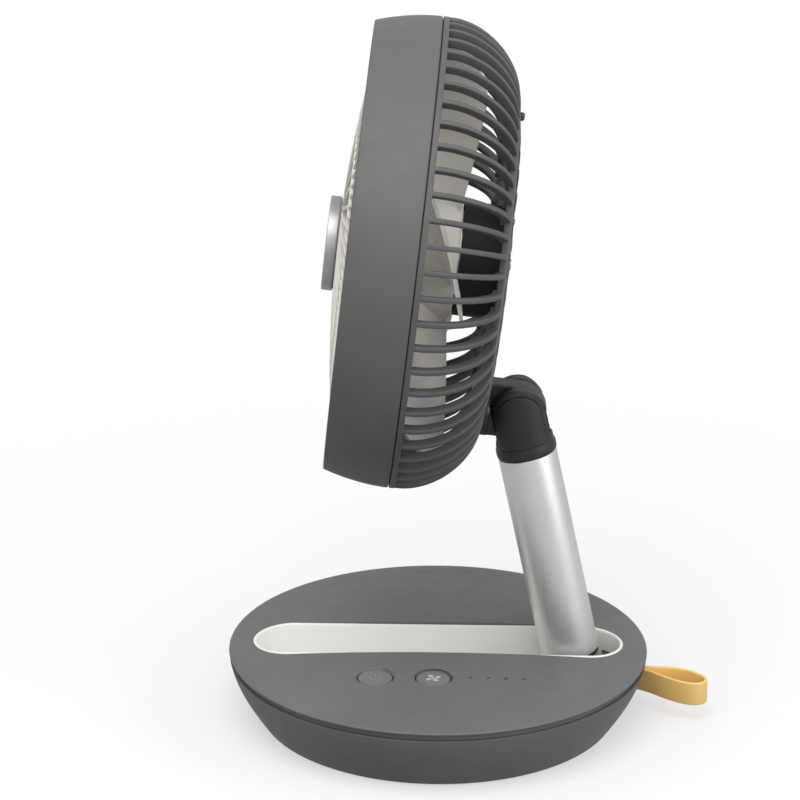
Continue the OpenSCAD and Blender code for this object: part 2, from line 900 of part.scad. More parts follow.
module front_guard() {
    rim = guard_radius - guard_rim;
    color(off_white) on_head() union() {
        intersection() {
            rotate_extrude() polygon(concat(guard_skin(0, guard_radius - 1),
                reversed(guard_skin(dome_wall, guard_radius - 1))));
            union() {
                skewed_bars(bar_count, guard_centre - 7, rim - 0.4, front_bar_skew,
                    front_bar_width, through);
                // A shorter bar between each two
                rotate([0, 0, 180 / bar_count])
                    skewed_bars(bar_count, guard_ring - 2.5, rim - 0.4, front_bar_skew,
                        front_bar_width, through);
                cylinder(r = guard_centre, h = through);
                tube_ring(guard_ring + 1, guard_ring - 1, 0, through);
            }
        }
        rotate_extrude() polygon([[rim, 24], [guard_radius, 24],
            [guard_radius, 27.6], [rim, 28.2]]);
    }
}

module hub_cap() {
    color(satin_alu) on_head() difference() {
        rotate_extrude() polygon([[0, dome_top - 2], [hub_cap_radius - 1.4, dome_top - 2],
            [hub_cap_radius, dome_top - 0.8],
            [hub_cap_radius, dome_top + hub_cap_height - 0.8],
            [hub_cap_radius - 0.8, dome_top + hub_cap_height],
            [0, dome_top + hub_cap_height]]);
        rotate_extrude() polygon(concat([[0, 0]], guard_skin(0, guard_radius - 1),
            [[guard_radius - 1, 0]]));
    }
}

// ---------- motor ----------

module motor_housing() {
    color(black) on_head() difference() {
        rotate_extrude() polygon([[0, -motor_back], [motor_radius, -motor_back],
            [motor_radius, -motor_front], [motor_radius - motor_wall, -motor_front],
            [motor_radius - motor_wall, -motor_floor], [core_bore, -motor_floor], [core_bore, -22],
            [bearing_radius, -22], [bearing_radius, -motor_floor], [0, -motor_floor]]);
        bolt_holes(motor_bolts);
    }
}

module motor_screws() {
    color(steel) on_head() for (p = motor_bolts)
        translate([p[0], p[1], -hub_depth]) union() {
            translate([0, 0, -1.4]) cylinder(r = bolt_head, h = 1.4);
            translate([0, 0, -eps]) cylinder(r = bolt_radius, h = 5.1);
        }
}

module bearings() {
    color(steel) on_head() for (z = [-motor_floor, -25])
        tube_ring(bearing_radius, shaft_radius + running_fit, z, 3);
}

module core_tooth() {
    translate([core_bore + 2.5, -tooth_width / 2, -core_back])
        cube([tooth_length, tooth_width, core_length]);
}

module stator_core() {
    color(steel) on_head() union() {
        tube_ring(core_bore + 3, core_bore, -core_back, core_length);
        for (i = [0 : 8]) rotate([0, 0, 40 * i]) intersection() {
            union() {
                core_tooth();
                translate([stator_radius - shoe_length / 2, -shoe_width / 2, -core_back])
                    cube([shoe_length, shoe_width, core_length]);
            }
            translate([0, 0, -through]) cylinder(r = stator_radius, h = through);
        }
    }
}

module stator_coils() {
    color(copper) on_head() for (i = [0 : 8]) rotate([0, 0, 40 * i]) difference() {
        translate([stator_radius - shoe_length / 2 - coil_size[0] - 0.3, -coil_size[1] / 2,
            -core_back - coil_end])
            cube([coil_size[0], coil_size[1], core_length + 2 * coil_end]);
        core_tooth();
    }
}

module motor_board() {
    color(board_green) on_head() tube_ring(22, core_bore, -motor_floor, 1.2);
}

module rotor_bell() {
    color(steel) on_head() rotate_extrude() polygon([
        [shaft_radius, -bell_front], [bell_radius, -bell_front], [bell_radius, -core_back],
        [bell_radius - bell_wall, -core_back], [bell_radius - bell_wall, -bell_front - 1.6],
        [shaft_radius, -bell_front - 1.6]]);
}

module rotor_magnet() {
    color(black) on_head() tube_ring(bell_radius - bell_wall, stator_radius + 0.4, -core_back, 10);
}

module motor_shaft() {
    color(steel) on_head() translate([0, 0, 0.4 - motor_floor])
        cylinder(r = shaft_radius, h = shaft_length);
}

module impeller() {
    color(off_white) on_head() union() {
        rotate_extrude() polygon([[shaft_radius, -bell_front], [hub_core, -bell_front],
            [hub_core, hub_shoulder + 3], [hub_radius - hub_wall, hub_shoulder],
            [hub_radius - hub_wall, -hub_back], [hub_radius, -hub_back],
            [hub_radius, hub_shoulder], [hub_radius - 2 * hub_wall, hub_shoulder + 4],
            [hub_radius - 5 * hub_wall, hub_front - 0.4],
            [shaft_radius, hub_front]]);
        intersection() {
            tube_ring(blade_radius, hub_radius - 1, -30, through);
            for (i = [0 : blade_count - 1]) rotate([0, 0, 360 * i / blade_count])
                blade();
        }
    }
}

// One cambered blade: a slice of a large tube laid along the blade and tipped over
module blade() {
    length = blade_radius + 3;
    intersection() {
        translate([0, 0, blade_level]) rotate([blade_pitch, 0, 0])
            translate([0, 0, blade_bend]) rotate([0, 90, 0])
                tube_ring(blade_bend, blade_bend - blade_wall, 0, length);
        translate([0, 0, blade_level - through / 2]) linear_extrude(through)
            polygon([[hub_radius - 6, -blade_root / 2], [length, -blade_tip / 2],
                [length, blade_tip / 2], [hub_radius - 6, blade_root / 2]]);
    }
}

module impeller_nut() {
    color(satin_alu) on_head() difference() {
        translate([0, 0, hub_front]) cylinder(r = nut_radius, h = nut_radius, $fn = 6);
        translate([0, 0, 0]) cylinder(r = shaft_radius, h = shaft_length + 0.4 - motor_floor);
    }
}

// ---------- node selection ----------

base_bowl();
base_cover();
trough_liner();
foot_pad();
ballast_plates();
battery_tray();
battery_cells();
main_board();
button_switches();
board_lights();
light_pipes();
board_screws();
charge_board();
charge_socket();
base_screws();
strap();
strap_anchor();
arm_stop();
foot_bracket();
foot_pin();
foot_washers();
power_button();
speed_button();
arm_tube();
foot_plug();
arm_wiring();
elbow_knuckle();
elbow_caps();
elbow_pin();
friction_bush();
head_bracket();
bracket_screws();
rear_guard();
rear_feet();
front_ring();
front_guard();
hub_cap();
motor_housing();
motor_screws();
bearings();
stator_core();
stator_coils();
motor_board();
rotor_bell();
rotor_magnet();
motor_shaft();
impeller();
impeller_nut();
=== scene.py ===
"""Looks of a portable camping fan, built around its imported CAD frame.

The shape code works in millimetres, as the CAD source does, in three local frames: the base, the
elbow and the head. Every piece is placed in metres and rides on a CAD body.
"""

import json
import math

import bmesh
import bpy
from mathutils import Matrix, Vector


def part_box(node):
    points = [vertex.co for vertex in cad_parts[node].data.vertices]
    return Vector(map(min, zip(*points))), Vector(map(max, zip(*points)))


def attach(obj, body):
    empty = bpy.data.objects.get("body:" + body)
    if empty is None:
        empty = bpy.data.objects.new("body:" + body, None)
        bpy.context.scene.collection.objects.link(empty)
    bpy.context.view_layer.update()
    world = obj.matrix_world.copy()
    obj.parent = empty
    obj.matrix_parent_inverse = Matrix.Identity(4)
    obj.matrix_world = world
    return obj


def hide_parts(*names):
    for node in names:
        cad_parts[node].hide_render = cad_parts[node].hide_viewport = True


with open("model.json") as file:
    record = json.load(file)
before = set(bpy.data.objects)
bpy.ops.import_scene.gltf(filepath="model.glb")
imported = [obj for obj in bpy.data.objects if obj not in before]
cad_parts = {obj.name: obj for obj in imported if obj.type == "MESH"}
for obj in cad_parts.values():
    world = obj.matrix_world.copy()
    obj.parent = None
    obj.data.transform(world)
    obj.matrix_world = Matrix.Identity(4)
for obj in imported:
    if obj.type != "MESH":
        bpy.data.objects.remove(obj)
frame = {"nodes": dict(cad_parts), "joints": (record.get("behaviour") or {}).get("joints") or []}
bpy.context.view_layer.update()

MM = 0.001
nodes = frame["nodes"]
joints = {joint["name"]: joint for joint in frame["joints"]}


# ---------- frames and sizes taken from the CAD ----------

def frame_along(origin, forward):
    """A frame whose Z runs along forward and whose Y is the row's own Y."""
    forward = Vector(forward).normalized()
    across = Vector((0, 1, 0))
    up = across.cross(forward)
    axes = Matrix((up, across, forward)).transposed().to_4x4()
    return Matrix.Translation(origin) @ axes


FOOT = Vector(joints["arm_fold"]["pos_m"])
ELBOW_AT = Vector(joints["head_tilt"]["pos_m"])
BASE = Matrix.Identity(4)
ELBOW = frame_along(ELBOW_AT, ELBOW_AT - FOOT)
HEAD = frame_along(joints["fan_spin"]["pos_m"], joints["fan_spin"]["axis"])


def spread(node, place, measure):
    """Lowest and highest value, in mm, of a measure of the node's points in a local frame."""
    inverse = place.inverted()
    values = [measure((inverse @ v.co) / MM) for v in nodes[node].data.vertices]
    return min(values), max(values)


def radius(point):
    """The point's distance from its frame's Z axis."""
    return math.hypot(point.x, point.y)


HEAD_RADIUS = spread("front_ring", HEAD, radius)[1]
RING_DEPTH = spread("front_ring", HEAD, lambda p: p.z)[1]
HUB_DEPTH = -spread("rear_guard", HEAD, lambda p: p.z)[0]
GUARD_RADIUS = spread("front_guard", HEAD, radius)[1]
DOME_TOP = spread("front_guard", HEAD, lambda p: p.z)[1]
CAP_RADIUS = spread("hub_cap", HEAD, radius)[1]
CAP_TOP = spread("hub_cap", HEAD, lambda p: p.z)[1]
BLADE_RADIUS = spread("impeller", HEAD, radius)[1]
BASE_RADIUS = spread("base_cover", BASE, radius)[1]
TUBE_RADIUS = spread("arm_tube", ELBOW, radius)[1]
TUBE_LOW, TUBE_HIGH = spread("arm_tube", ELBOW, lambda p: p.z)

# The head's outline; Z runs forward along the fan's axis from the seam
SHOULDER_START = 5
SHOULDER_WIDTH = 32.4
SHOULDER_DEPTH = 34
SHOULDER_BEND = 1.11
BACK_RADIUS = HEAD_RADIUS - SHOULDER_WIDTH
BACK_DEPTH = SHOULDER_START + SHOULDER_DEPTH
HUB_PLATE = 33
SHELL = 3
SEAM_GAP = 0.4
RING_WALL = 2.4
RING_TAPER = 5.2
RIBS = 60
RIB_WIDTH = 2.4
RIB_DEPTH = 4.35
BACK_SKEW = 17
BARS = 40
BAR_SKEW = 15
BAR_WIDTH = 1.7
GUARD_THICK = 2.4
DOME_RISE = 10.08
DOME_CENTRE = 23
ELBOW_DROP = 70.1
PLATE_RISE = spread("head_bracket", HEAD, lambda p: p.x)[1] + ELBOW_DROP
PLATE_HALF = 13.5
PLATE_DROP = 12.2
FOOT_RING = 69.3
FOOT_PATCH = 4.2

# The impeller
BLADES = 5
BLADE_LEVEL = -11.5
BLADE_THICK = 2.0
HUB_RADIUS = 30
HUB_BACK = -18.6
SKIRT_BACK = -19.3
SKIRT_BEND = 2.6
SKIRT_WALL = 1.6

# The base's outline
COVER_TOP = 36.6
DOME_DROP = 2.6
SHOULDER_RADIUS = BASE_RADIUS - 14
COVER_BOTTOM = 31
TROUGH_SPAN = 70.4
TROUGH_RADIUS = 16.7
TROUGH_FLOOR = 7.4
TROUGH_BOTTOM = 6.0
LINER_WALL = 1.5

# The button caps
CAP_CENTRE = 35.0
CAP_DISH = 0.4
CAP_SIZE = 6.15


# ---------- mesh code ----------

def rounded(points, bend, steps=3, closed=True):
    """The outline with every sharp corner rounded."""
    straight, longest = 0.25, 0.45
    out, last = [], len(points) - 1
    for i, point in enumerate(points):
        p = Vector(point)
        if not closed and i in (0, last):
            out.append(tuple(p))
            continue
        before = Vector(points[i - 1]) - p
        after = Vector(points[(i + 1) % len(points)]) - p
        turn = math.pi - before.angle(after)
        if turn < straight:
            out.append(tuple(p))
            continue
        cut = min(bend * math.tan(turn / 2), longest * before.length, longest * after.length)
        start = p + before.normalized() * cut
        end = p + after.normalized() * cut
        for k in range(steps + 1):
            t = k / steps
            out.append(tuple(start.lerp(p, t).lerp(p.lerp(end, t), t)))
    return out


def rectangle(width, height):
    """Corners of a rectangle about the origin."""
    return [(-width / 2, -height / 2), (width / 2, -height / 2),
            (width / 2, height / 2), (-width / 2, height / 2)]


def circle(size, steps=24, centre=(0, 0)):
    """Points round a circle; size is its radius."""
    return [(centre[0] + size * math.cos(math.tau * k / steps),
             centre[1] + size * math.sin(math.tau * k / steps)) for k in range(steps)]


def steps_between(low, high, count):
    """Evenly spaced values from low to high, both included."""
    return [low + (high - low) * k / count for k in range(count + 1)]


def turned(point, angle):
    """The point turned about Z."""
    c, s = math.cos(angle), math.sin(angle)
    return (point[0] * c - point[1] * s, point[0] * s + point[1] * c, point[2])


class Shape:
    """Closed solids gathered into one mesh."""

    def __init__(self):
        self.points = []
        self.faces = []

    def add(self, point):
        """Adds a point and gives its number."""
        self.points.append(point)
        return len(self.points) - 1

    def loft(self, rings):
        """A skin over rings of equal count, capped at both ends."""
        start, size, count = len(self.points), len(rings[0]), len(rings)
        for ring in rings:
            self.points.extend(ring)
        for i in range(count - 1):
            a, b = start + i * size, start + (i + 1) * size
            for j in range(size):
                k = (j + 1) % size
                self.faces.append((a + j, a + k, b + k, b + j))
        self.faces.append(tuple(range(start, start + size)))
        self.faces.append(tuple(range(start + (count - 1) * size, start + count * size)))

    def revolve(self, profile, steps):
        """Turns a profile of (radius, level) about Z; it closes unless it starts on the axis."""
        on_axis = 1e-6
        rows = []
        for r, z in profile:
            turns = 1 if r < on_axis else steps
            rows.append([self.add((r * math.cos(math.tau * k / steps),
                                   r * math.sin(math.tau * k / steps), z))
                         for k in range(turns)])
        pairs = list(zip(rows, rows[1:]))
        if profile[0][0] > on_axis:
            pairs.append((rows[-1], rows[0]))
        for a, b in pairs:
            for k in range(steps):
                m = (k + 1) % steps
                corners = (a[k % len(a)], a[m % len(a)], b[m % len(b)], b[k % len(b)])
                face = tuple(dict.fromkeys(corners))
                if len(face) > 2:
                    self.faces.append(face)

    def patch(self, outline, centre, outer, inner):
        """A plate under an outline about centre, between two levels given at (x, y)."""
        edge, shares = 0.5, (0.02, 0.5, 0.95)
        rows = [(share, outer, 0) for share in shares]
        rows += [(1, outer, edge), (1, inner, -edge)]
        rows += [(share, inner, 0) for share in reversed(shares)]
        rings = []
        for share, level, lift in rows:
            ring = []
            for x, y in outline:
                px, py = centre[0] + x * share, centre[1] + y * share
                ring.append((px, py, level(px, py) + lift))
            rings.append(ring)
        self.loft(rings)

    def prism(self, outline, low, high):
        """A thin upright plate whose two faces follow levels given at (x, y)."""
        self.loft([[(x, y, low(x, y)) for x, y in outline],
                   [(x, y, high(x, y)) for x, y in outline]])

    def spin(self, start, angle):
        """Turns every point added since start about Z."""
        self.points[start:] = [turned(p, angle) for p in self.points[start:]]


def build(shape, name, body, material, place, replaces=(), crease=38):
    """Makes the shape a piece that rides on a body and stands for the named CAD nodes."""
    mesh = bpy.data.meshes.new(name)
    to_row = place @ Matrix.Scale(MM, 4)
    mesh.from_pydata([to_row @ Vector(p) for p in shape.points], [], shape.faces)
    piece = bpy.data.objects.new(name, mesh)
    bpy.context.scene.collection.objects.link(piece)
    work = bmesh.new()
    work.from_mesh(mesh)
    bmesh.ops.recalc_face_normals(work, faces=work.faces)
    work.to_mesh(mesh)
    work.free()
    return dressed(piece, body, material, replaces, crease)


def dressed(piece, body, material, replaces, crease):
    """Gives a piece its material, its body and the CAD nodes it stands for."""
    mesh = piece.data
    mesh.polygons.foreach_set("use_smooth", [True] * len(mesh.polygons))
    mesh.set_sharp_from_angle(angle=math.radians(crease))
    mesh.materials.clear()
    mesh.materials.append(material)
    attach(piece, body)
    if replaces:
        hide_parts(*replaces)
    return piece


def softened(node, name, body, material, voxel, passes):
    """A copy of a CAD node with its edges rounded, as a moulding has them.

    It is remeshed at a voxel size in mm and smoothed a number of passes.
    """
    crease = 60
    piece = bpy.data.objects.new(name, nodes[node].data.copy())
    bpy.context.scene.collection.objects.link(piece)
    remesh = piece.modifiers.new("remesh", "REMESH")
    remesh.mode = "VOXEL"
    remesh.voxel_size = voxel * MM
    smooth = piece.modifiers.new("smooth", "SMOOTH")
    smooth.factor = 0.5
    smooth.iterations = passes
    bpy.context.view_layer.update()
    evaluated = piece.evaluated_get(bpy.context.evaluated_depsgraph_get())
    mesh = bpy.data.meshes.new_from_object(evaluated)
    piece.modifiers.clear()
    piece.data = mesh
    return dressed(piece, body, material, (node,), crease)


# ---------- materials ----------


class Finish:
    """A procedural material, built up from shader nodes."""

    def __init__(self, name, roughness, metallic=0.0):
        self.material = bpy.data.materials.get(name) or bpy.data.materials.new(name)
        self.material.use_nodes = True
        self.tree = self.material.node_tree
        self.tree.nodes.clear()
        self.shader = self.tree.nodes.new("ShaderNodeBsdfPrincipled")
        self.set("Roughness", roughness)
        self.set("Metallic", metallic)
        output = self.tree.nodes.new("ShaderNodeOutputMaterial")
        self.tree.links.new(self.shader.outputs[0], output.inputs["Surface"])
        self.coordinates = self.tree.nodes.new("ShaderNodeTexCoord").outputs["Object"]

    def connect(self, value, socket):
        """Links an output to the socket, or sets the socket's value."""
        if isinstance(value, bpy.types.NodeSocket):
            self.tree.links.new(value, socket)
        else:
            socket.default_value = value

    def set(self, name, value):
        """Connects a value to an input of the shader."""
        self.connect(value, self.shader.inputs[name])

    def node(self, kind, inputs, **settings):
        """Adds a node with its inputs and settings."""
        node = self.tree.nodes.new("ShaderNode" + kind)
        for key, value in settings.items():
            setattr(node, key, value)
        for key, value in inputs.items():
            self.connect(value, node.inputs[key])
        return node

    def noise(self, scale, detail, vector=None):
        """Noise; scale is in waves per metre."""
        inputs = {"Vector": vector or self.coordinates, "Scale": scale, "Detail": detail}
        return self.node("TexNoise", inputs).outputs[0]

    def between(self, value, low, high, source=(0.3, 0.7)):
        """The value carried from the source range to low..high."""
        inputs = {"Value": value, "From Min": source[0], "From Max": source[1],
                  "To Min": low, "To Max": high}
        return self.node("MapRange", inputs).outputs[0]

    def mixed(self, share, first, second):
        """A colour between two, at a share of the way."""
        node = self.node("Mix", {}, data_type="RGBA")
        self.connect(share, node.inputs[0])
        self.connect(first, node.inputs[6])
        self.connect(second, node.inputs[7])
        return node.outputs[2]

    def soft_normal(self, size):
        """The normal with edges rounded by size, in mm."""
        return self.node("Bevel", {"Radius": size * MM}, samples=6).outputs[0]

    def edges(self, soft, gain):
        """Where the softened normal leaves the true one: gain on an edge, 0 on a flat."""
        edge, flat = 0.75, 0.995
        true = self.node("NewGeometry", {}).outputs["Normal"]
        dot = self.node("VectorMath", {0: soft, 1: true}, operation="DOT_PRODUCT")
        return self.between(dot.outputs["Value"], gain, 0.0, (edge, flat))

    def bump(self, height, depth, normal):
        """The normal with a relief of the given depth, in mm."""
        inputs = {"Height": height, "Distance": depth * MM, "Strength": 1.0, "Normal": normal}
        return self.node("Bump", inputs).outputs[0]


def tint(colour, gain):
    """The colour made lighter or darker, with an alpha of 1."""
    return tuple(min(1.0, c * gain) for c in colour) + (1.0,)


def moulded(name, colour, roughness, grain=1500, depth=0.012, edge_lift=0.35, patch=0.06,
            specular=0.5):
    """A moulded plastic or rubber: fine grain, cloudy tone, edges made lighter."""
    cloud_scale, gloss_scale, edge, edge_gain, variation = 22, 140, 0.4, 1.7, 0.05
    finish = Finish(name, roughness)
    cloud = finish.noise(cloud_scale, 3)
    tone = finish.mixed(finish.between(cloud, 0, 1), tint(colour, 1 - patch),
                        tint(colour, 1 + patch))
    soft = finish.soft_normal(edge)
    finish.set("Base Color", finish.mixed(finish.edges(soft, edge_lift), tone,
                                          tint(colour, edge_gain)))
    finish.set("Roughness", finish.between(finish.noise(gloss_scale, 3), roughness - variation,
                                           roughness + variation))
    finish.set("Specular IOR Level", specular)
    finish.set("Normal", finish.bump(finish.noise(grain, 2), depth, soft))
    return finish.material


def metal(name, colour, roughness, grain=(900, 900, 60), depth=0.004):
    """A metal with a drawn or satin grain; grain is the noise scale along each axis."""
    cloud_scale, edge, patch, smoother, rougher = 30, 0.3, 0.04, 0.05, 0.06
    finish = Finish(name, roughness, 1.0)
    mapping = finish.node("Mapping", {"Vector": finish.coordinates, "Scale": grain})
    drawn = finish.noise(1.0, 3, mapping.outputs[0])
    cloud = finish.noise(cloud_scale, 3)
    finish.set("Base Color", finish.mixed(finish.between(cloud, 0, 1), tint(colour, 1 - patch),
                                          tint(colour, 1 + patch)))
    finish.set("Roughness", finish.between(drawn, roughness - smoother, roughness + rougher))
    finish.set("Normal", finish.bump(drawn, depth, finish.soft_normal(edge)))
    return finish.material


# The front ring is the base cover's dark plastic made a little darker: painted shade.
RING_SHADED = moulded("ring_painted_shade", (0.116, 0.116, 0.1145), 0.55)
# The rear guard is the same dark plastic made darker still: painted shade for the shade inside
# the cage.
GUARD_SHADED = moulded("guard_painted_shade", (0.098, 0.098, 0.097), 0.55)
MOTOR = moulded("motor_shell", (0.010, 0.010, 0.011), 0.6, edge_lift=0.1, specular=0.3)
BLACK = moulded("black_plastic", (0.016, 0.016, 0.0165), 0.46, edge_lift=0.15)
WHITE = moulded("white_plastic", (0.88, 0.885, 0.83), 0.42, edge_lift=0.0, patch=0.02)
GUARD_WHITE = moulded("guard_white", (0.74, 0.72, 0.66), 0.42, edge_lift=0.0, patch=0.02)
# The blades are off-white plastic, darkened here: painted shade for the shade inside the cage.
BLADE_SHADED_WHITE = moulded("blade_painted_shade", (0.68, 0.65, 0.59), 0.42, depth=0.003, edge_lift=0.0,
                      patch=0.03)
# A near-black block at the trough's foot end; its colour is painted shade for the dark hollow
# behind the tube's foot.
STOP_SHADE = moulded("stop_painted_shade", (0.045, 0.045, 0.043), 0.6)
DARK_RUBBER = moulded("dark_rubber", (0.075, 0.075, 0.075), 0.6, grain=900, depth=0.02)
BAND = moulded("strap_silicone", (1.0, 0.63, 0.22), 0.5, grain=1100, depth=0.02, edge_lift=0.35,
               patch=0.07)
ALUMINIUM = metal("satin_aluminium", (0.78, 0.785, 0.79), 0.43, (700, 700, 45))
STEEL = metal("zinc_steel", (0.50, 0.51, 0.53), 0.3)
DIM = moulded("dim_icon", (0.24, 0.24, 0.24), 0.4, edge_lift=0.0)
LENS = moulded("lens_plastic", (0.085, 0.085, 0.083), 0.4, edge_lift=0.0)
CAP = moulded("cap_plastic", (0.165, 0.165, 0.163), 0.5)

# Worn by CAD nodes alone, which carry these materials already
moulded("dark_plastic", (0.136, 0.136, 0.134), 0.55)
moulded("pad_rubber", (0.030, 0.030, 0.030), 0.75, grain=900, depth=0.03, edge_lift=0.2)
moulded("circuit_board", (0.012, 0.075, 0.030), 0.35, grain=500, edge_lift=0.0)
metal("coil_copper", (0.70, 0.30, 0.12), 0.3, (200, 200, 2500), 0.03)
moulded("cell_sleeve", (0.04, 0.11, 0.25), 0.3, edge_lift=0.0)
moulded("magnet", (0.05, 0.05, 0.055), 0.5, edge_lift=0.0)
moulded("light_guide", (0.045, 0.045, 0.042), 0.2, edge_lift=0.0)


def lit(name, colour, strength):
    """A faintly glowing plastic, clouded between its colour and a grey."""
    cloud_scale, grey = 420, 0.9
    finish = Finish(name, 0.4)
    cloud = finish.between(finish.noise(cloud_scale, 1), 0, 1)
    glow = finish.mixed(cloud, tint(colour, 1), tint((colour[0],) * 3, grey))
    finish.set("Base Color", glow)
    finish.set("Emission Color", glow)
    finish.set("Emission Strength", strength)
    return finish.material


LIT = lit("lit_icon", (0.50, 0.37, 0.32), 0.10)


def turned_aluminium():
    """Aluminium with fine rings turned about the fan's axis."""
    line_scale, depth, edge, smoothest, roughest = 5200.0, 0.004, 0.4, 0.42, 0.52
    dark, pale = (0.46, 0.46, 0.465, 1), (0.57, 0.57, 0.575, 1)
    finish = Finish("turned_aluminium", 0.47, 1.0)
    offset = finish.node("VectorMath", {0: finish.coordinates, 1: HEAD.translation},
                         operation="SUBTRACT").outputs[0]
    axis = HEAD.to_3x3().col[2]
    along = finish.node("VectorMath", {0: offset, 1: axis}, operation="DOT_PRODUCT")
    pole = finish.node("VectorMath", {0: tuple(axis), "Scale": along.outputs["Value"]},
                       operation="SCALE")
    ring = finish.node("VectorMath", {0: offset, 1: pole.outputs[0]}, operation="DISTANCE")
    lines = finish.node("TexNoise", {"W": ring.outputs["Value"], "Scale": line_scale,
                                     "Detail": 2.0}, noise_dimensions="1D").outputs[0]
    finish.set("Base Color", finish.mixed(finish.between(lines, 0, 1), dark, pale))
    finish.set("Roughness", finish.between(lines, smoothest, roughest))
    finish.set("Normal", finish.bump(lines, depth, finish.soft_normal(edge)))
    return finish.material


TURNED = turned_aluminium()


# ---------- head ----------

def shoulder(bend, inset):
    """A point of the rear guard's shoulder, from the seam (0) to the back (a quarter turn)."""
    c, s = max(math.cos(bend), 0.0), max(math.sin(bend), 0.0)
    return Vector((BACK_RADIUS + (SHOULDER_WIDTH - inset) * c ** SHOULDER_BEND,
                   -SHOULDER_START - (SHOULDER_DEPTH - inset) * s ** SHOULDER_BEND))


# The rear guard's back, from the axis outwards
BACK_LINE = [(0, -HUB_DEPTH), (HUB_PLATE, -HUB_DEPTH),
             (BACK_RADIUS - 17, -BACK_DEPTH - 2.3), (BACK_RADIUS, -BACK_DEPTH)]


def back_level(x, y=0.0):
    """Outer skin of the rear guard at a place on its back."""
    r = math.hypot(x, y)
    if r >= BACK_RADIUS:
        share = min(1.0, (r - BACK_RADIUS) / SHOULDER_WIDTH) ** (1 / SHOULDER_BEND)
        return shoulder(math.acos(share), 0).y
    for (r0, z0), (r1, z1) in zip(BACK_LINE, BACK_LINE[1:]):
        if r <= r1:
            return z0 + (z1 - z0) * (r - r0) / (r1 - r0)
    return -BACK_DEPTH


def inner_level(x, y=0.0):
    """Inner skin of the rear guard's back."""
    return back_level(x, y) + SHELL


def add_ribs(shape):
    """The hoops around the shoulder: each one swept from the seam to the back."""
    inset, start, end = 0.15, -1.2, BACK_RADIUS - 3
    inside = inset + RIB_DEPTH
    line = [(Vector((HEAD_RADIUS - inset, start)), Vector((HEAD_RADIUS - inside, start)))]
    line += [(shoulder(b, inset), shoulder(b, inside)) for b in steps_between(0, math.pi / 2, 22)]
    line.append((Vector((end, inset - BACK_DEPTH)), Vector((end, inside - BACK_DEPTH))))
    section = rib_section()
    for i in range(RIBS):
        rings = []
        for outer, inner in line:
            ring = []
            for share, y in section:
                p = outer.lerp(inner, share)
                ring.append(turned((p.x, y, p.y), math.tau * i / RIBS))
            rings.append(ring)
        shape.loft(rings)


def rib_section():
    """A rib cut across: (share of its depth, distance from its middle), outer corners rounder."""
    half, taper, bend = RIB_WIDTH / 2, 0.15, 0.62
    flat = rounded([(0, -half), (0, half), (RIB_DEPTH, half - taper),
                    (RIB_DEPTH, taper - half)], bend)
    return [(depth / RIB_DEPTH, y) for depth, y in flat]


def add_bars(shape, count, low, high, offset, width, thick, level, steps=14, turn=0.0):
    """Skewed bars of a guard, all leaning the same way round; turn is a share of their step."""
    section = rounded(rectangle(width, thick), 0.5)
    for i in (k + turn for k in range(count)):
        rings = []
        for x in steps_between(low, high, steps):
            z = level(x, offset)
            rings.append([turned((x, offset + a, z + thick / 2 + b), math.tau * i / count)
                          for a, b in section])
        shape.loft(rings)


def hinge_plate(extra):
    """Outline of the pad behind the elbow: straight above, round below."""
    half, above, below = PLATE_HALF + extra, PLATE_RISE + extra, PLATE_DROP + extra
    points = [(above, -half), (above, half)]
    for angle in steps_between(math.pi / 2, 3 * math.pi / 2, 16):
        points.append((max(half * math.cos(angle), -below), half * math.sin(angle)))
    return points


def seam_ring():
    """Profile of the seam ring, with the lip that slides into the front ring."""
    band, lip, face, wall = 2.6, 2.6, 2.5, 5
    low = -SEAM_GAP - band
    return rounded([(HEAD_RADIUS, low), (HEAD_RADIUS, -SEAM_GAP),
                    (HEAD_RADIUS - face, -SEAM_GAP), (HEAD_RADIUS - face, lip),
                    (HEAD_RADIUS - wall, lip), (HEAD_RADIUS - wall, low)], 0.35)


def back_ring():
    """Profile of the ring that the hoops and the skewed bars run into."""
    inward, outward = 5.6, 2.6
    low, high = BACK_RADIUS - inward, BACK_RADIUS + outward
    outer = [(r, back_level(r)) for r in steps_between(low, high, 5)]
    inner = [(r, inner_level(r)) for r in steps_between(high, low, 5)]
    return rounded(outer + inner, 0.7)


def hub_plate():
    """Profile of the plate behind the motor, with a shallow step round its rim."""
    step, sink, slope = 26, 0.6, 0.8
    return rounded([(0, sink - HUB_DEPTH), (step, sink - HUB_DEPTH), (step + slope, -HUB_DEPTH),
                    (HUB_PLATE, -HUB_DEPTH), (HUB_PLATE, SHELL - HUB_DEPTH),
                    (0, SHELL - HUB_DEPTH)], 0.5, closed=False)


def rear_guard():
    """The ribbed cage behind the blades."""
    fine, coarse, plate_margin, root, tip = 240, 120, 1.4, HUB_PLATE - 5, BACK_RADIUS - 2
    shape = Shape()
    add_ribs(shape)
    add_bars(shape, RIBS // 2, root, tip, BACK_SKEW, RIB_WIDTH, SHELL, back_level)
    shape.revolve(seam_ring(), fine)
    shape.revolve(back_ring(), fine)
    shape.revolve(hub_plate(), coarse)
    shape.patch(hinge_plate(plate_margin), (-ELBOW_DROP, 0), back_level, inner_level)
    for angle in (0, 150, 210):
        start = len(shape.points)
        shape.patch(circle(FOOT_PATCH), (FOOT_RING, 0), back_level, inner_level)
        shape.spin(start, math.radians(angle))
    return build(shape, "rear_guard_shell", "head", GUARD_SHADED, HEAD, ("rear_guard",))


